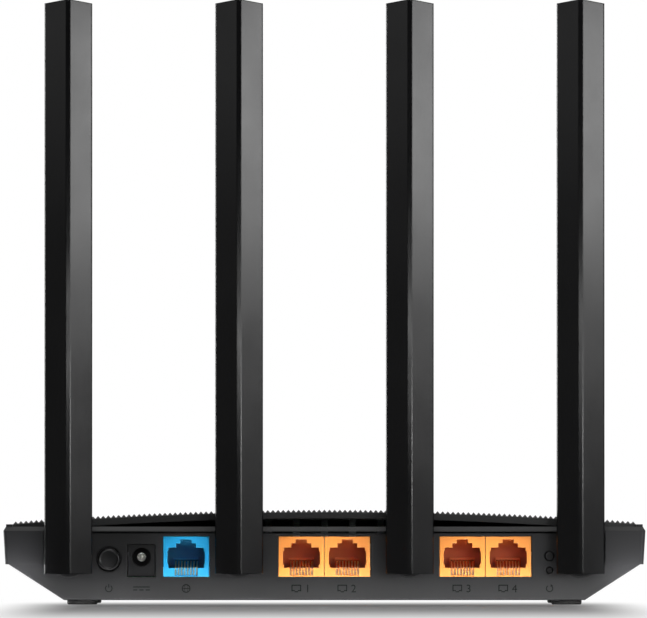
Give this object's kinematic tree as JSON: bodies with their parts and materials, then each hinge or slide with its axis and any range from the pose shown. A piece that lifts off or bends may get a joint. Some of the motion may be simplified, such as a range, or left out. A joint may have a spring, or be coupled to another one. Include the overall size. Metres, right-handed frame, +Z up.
{
  "type": "wireless router",
  "caption": "Flat wireless router with an arched textured lid, a belt round its case, network and power sockets at the back, and tall antennas on two-axis hinges.",
  "frame": {"origin": "on the floor, under the middle of the whole object", "axes": "+Z up; +X to the right for someone who faces the ports; +Y from the port panel towards the front of the case"},
  "size_m": [0.215, 0.1278, 0.2023],
  "materials": {
    "case_plastic": "fine matte moulding texture",
    "antenna_plastic": "satin",
    "button_plastic": "satin",
    "blue_plastic": "semi-gloss",
    "orange_plastic": "semi-gloss",
    "contact_gold": "polished",
    "socket_black": "semi-gloss",
    "pin_metal": "polished",
    "steel": "zinc plated",
    "rubber_black": "matte",
    "board_green": "solder mask",
    "chip_black": "matte epoxy",
    "sink_aluminium": "satin",
    "shield_steel": "tin plated",
    "pad_grey": "soft",
    "capacitor_sleeve": "satin",
    "clear_plastic": "diffusing",
    "smoked_plastic": "smoked",
    "copper": "bare",
    "lead_jacket": "smooth"
  },
  "bodies": {
    "case": {"antenna_leads": "lead_jacket", "board_screws": "steel", "capacitors": "capacitor_sleeve", "case_screws": "steel", "heat_sink": "sink_aluminium", "inductors": "chip_black", "lan_contacts": "contact_gold", "lan_jack_1": "orange_plastic", "lan_jack_2": "orange_plastic", "lan_jack_3": "orange_plastic", "lan_jack_4": "orange_plastic", "led_window": "smoked_plastic", "light_guide": "clear_plastic", "lower_case": "case_plastic", "main_board": "board_green", "memory_chips": "chip_black", "port_transformers": "chip_black", "power_jack": "socket_black", "power_jack_pin": "pin_metal", "power_switch": "socket_black", "processor": "chip_black", "radio_chips": "chip_black", "radio_shields": "shield_steel", "reset_switch": "socket_black", "rubber_feet": "rubber_black", "status_leds": "clear_plastic", "thermal_pad": "pad_grey", "top_grille": "case_plastic", "upper_frame": "case_plastic", "wan_contacts": "contact_gold", "wan_jack": "blue_plastic", "wps_switch": "socket_black"},
    "antenna_1_base": {"antenna_1_knuckle": "antenna_plastic", "antenna_1_clip": "steel"},
    "antenna_1": {"antenna_1_back_shell": "antenna_plastic", "antenna_1_front_shell": "antenna_plastic", "antenna_1_radiator": "copper", "antenna_1_hinge_pin": "steel"},
    "antenna_2_base": {"antenna_2_knuckle": "antenna_plastic", "antenna_2_clip": "steel"},
    "antenna_2": {"antenna_2_back_shell": "antenna_plastic", "antenna_2_front_shell": "antenna_plastic", "antenna_2_radiator": "copper", "antenna_2_hinge_pin": "steel"},
    "antenna_3_base": {"antenna_3_knuckle": "antenna_plastic", "antenna_3_clip": "steel"},
    "antenna_3": {"antenna_3_back_shell": "antenna_plastic", "antenna_3_front_shell": "antenna_plastic", "antenna_3_radiator": "copper", "antenna_3_hinge_pin": "steel"},
    "antenna_4_base": {"antenna_4_knuckle": "antenna_plastic", "antenna_4_clip": "steel"},
    "antenna_4": {"antenna_4_back_shell": "antenna_plastic", "antenna_4_front_shell": "antenna_plastic", "antenna_4_radiator": "copper", "antenna_4_hinge_pin": "steel"},
    "power_push": {"power_button": "button_plastic", "power_switch_plunger": "socket_black"},
    "wps_push": {"wps_button": "button_plastic"},
    "reset_push": {"reset_button": "button_plastic"}
  },
  "joints": [
    {"name": "antenna_1_swivel", "type": "hinge", "parent": "case", "child": "antenna_1_base", "pos_m": [-0.08565, -0.05795, 0.0149], "axis": [0, 1, 0], "range_deg": [-90, 12]},
    {"name": "antenna_1_tilt", "type": "hinge", "parent": "antenna_1_base", "child": "antenna_1", "pos_m": [-0.08565, -0.05795, 0.0149], "axis": [1, 0, 0], "range_deg": [0, 90]},
    {"name": "antenna_2_swivel", "type": "hinge", "parent": "case", "child": "antenna_2_base", "pos_m": [-0.02855, -0.05795, 0.0149], "axis": [0, 1, 0], "range_deg": [-12, 12]},
    {"name": "antenna_2_tilt", "type": "hinge", "parent": "antenna_2_base", "child": "antenna_2", "pos_m": [-0.02855, -0.05795, 0.0149], "axis": [1, 0, 0], "range_deg": [0, 90]},
    {"name": "antenna_3_swivel", "type": "hinge", "parent": "case", "child": "antenna_3_base", "pos_m": [0.02855, -0.05795, 0.0149], "axis": [0, 1, 0], "range_deg": [-12, 12]},
    {"name": "antenna_3_tilt", "type": "hinge", "parent": "antenna_3_base", "child": "antenna_3", "pos_m": [0.02855, -0.05795, 0.0149], "axis": [1, 0, 0], "range_deg": [0, 90]},
    {"name": "antenna_4_swivel", "type": "hinge", "parent": "case", "child": "antenna_4_base", "pos_m": [0.08565, -0.05795, 0.0149], "axis": [0, 1, 0], "range_deg": [-12, 90]},
    {"name": "antenna_4_tilt", "type": "hinge", "parent": "antenna_4_base", "child": "antenna_4", "pos_m": [0.08565, -0.05795, 0.0149], "axis": [1, 0, 0], "range_deg": [0, 90]},
    {"name": "power_button_push", "type": "slide", "parent": "case", "child": "power_push", "axis": [0, 1, 0], "range_m": [0, 0.0015], "stiffness_N_per_m": 800, "springref_m": -0.001},
    {"name": "wps_button_push", "type": "slide", "parent": "case", "child": "wps_push", "axis": [0, 1, 0], "range_m": [0, 0.0004], "stiffness_N_per_m": 1500, "springref_m": -0.0004},
    {"name": "reset_button_push", "type": "slide", "parent": "case", "child": "reset_push", "axis": [0, 1, 0], "range_m": [0, 0.0004], "stiffness_N_per_m": 1500, "springref_m": -0.0004}
  ]
}
